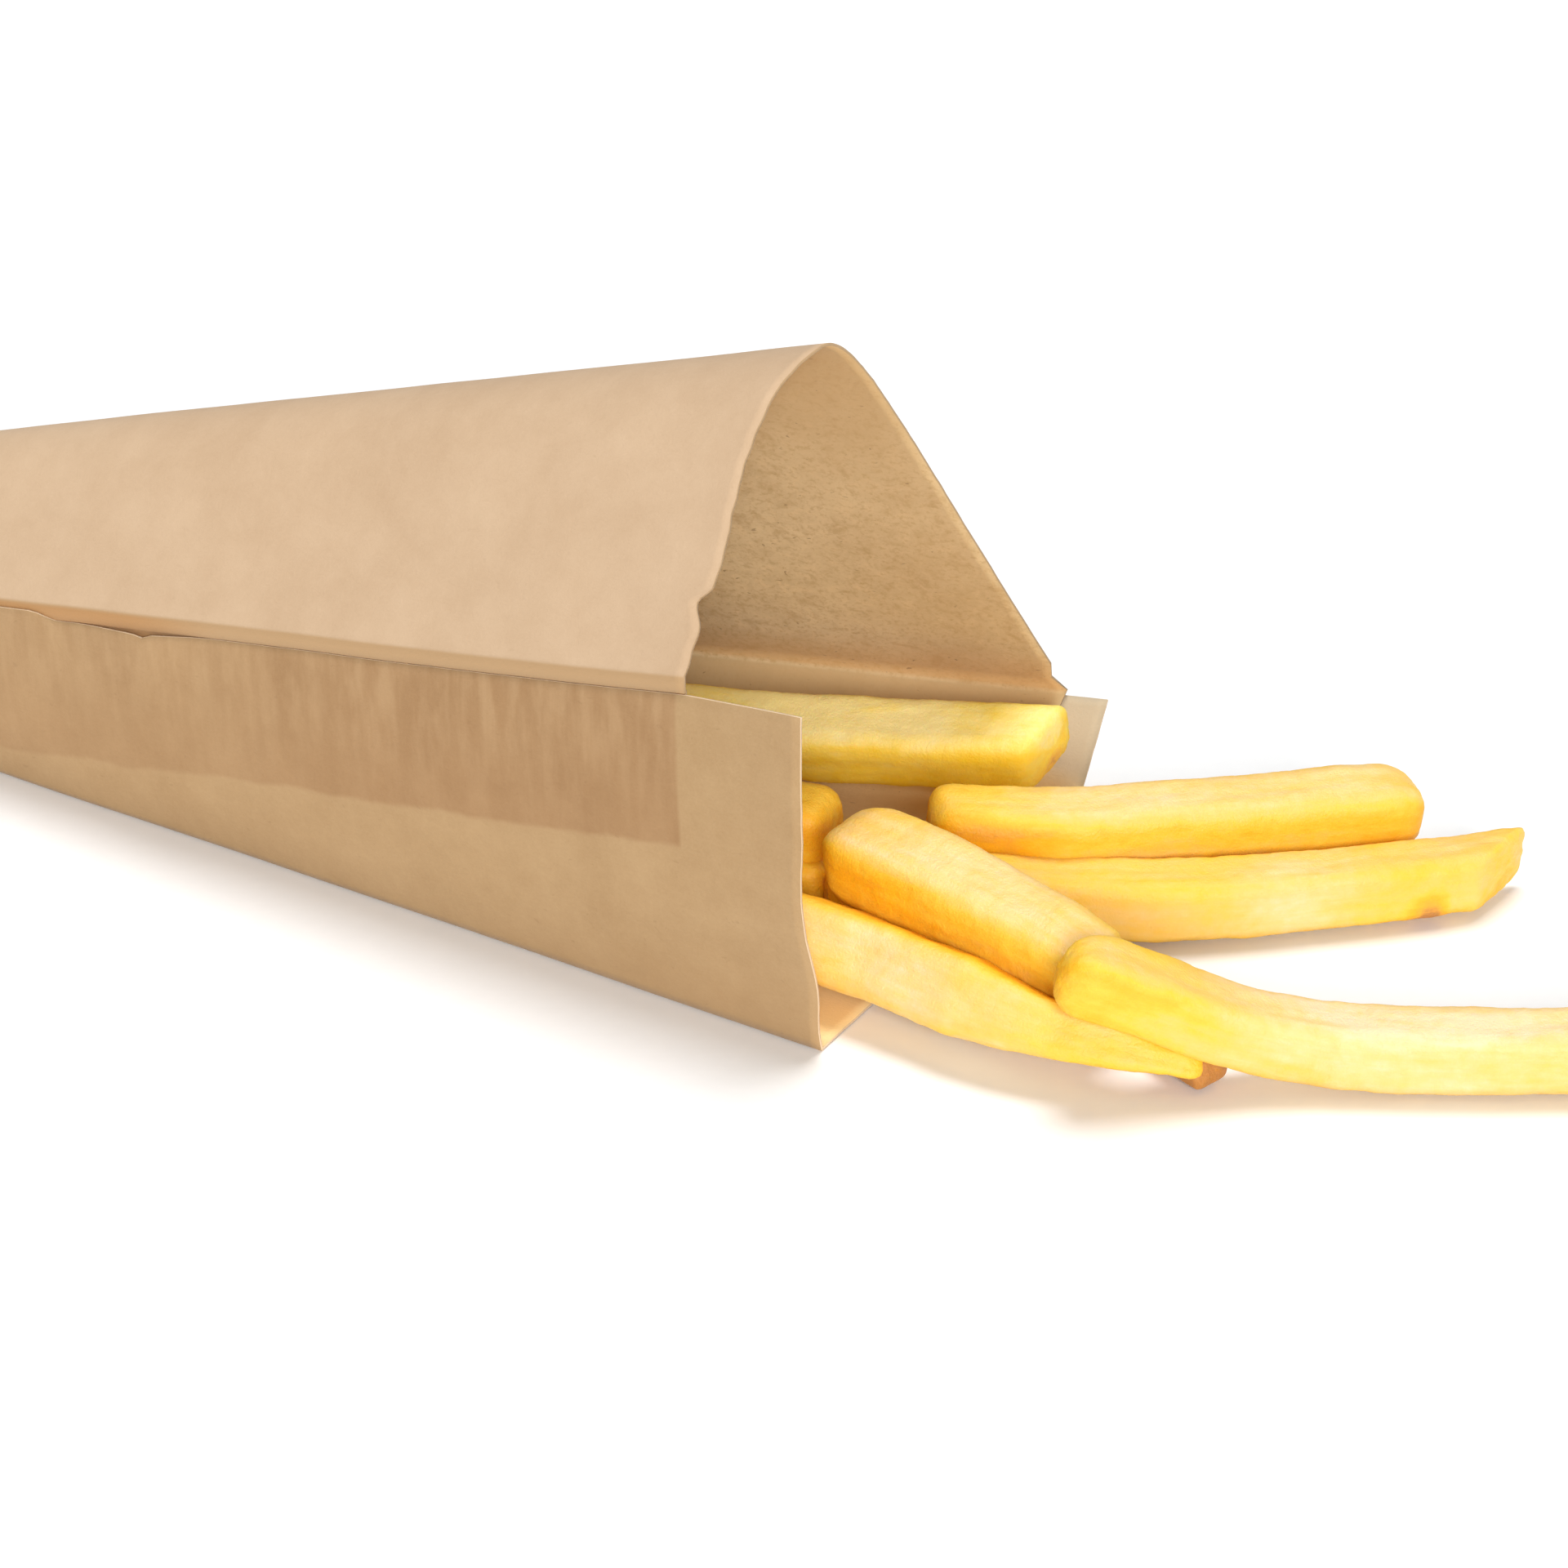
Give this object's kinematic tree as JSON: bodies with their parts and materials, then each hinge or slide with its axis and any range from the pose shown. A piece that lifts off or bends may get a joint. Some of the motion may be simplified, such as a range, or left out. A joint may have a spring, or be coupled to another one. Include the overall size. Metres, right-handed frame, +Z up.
{
  "type": "french fries in a paper cone",
  "caption": "Brown paper cone of french fries lying on its side, with chunky fries spilling out of its open mouth.",
  "frame": {"origin": "middle of the underside of the whole object's box", "axes": "+Z up as it lies, +X along the cone from its tip towards the mouth, -Y towards the tall near wall"},
  "size_m": [0.375, 0.083, 0.0756],
  "materials": {
    "brown_paper": "matt, with short dark fibres",
    "fried_potato": "golden yellow, slightly oily sheen"
  },
  "bodies": {
    "root": {"upper_panel": "brown_paper", "lower_panel": "brown_paper", "fries": "fried_potato"}
  },
  "joints": []
}
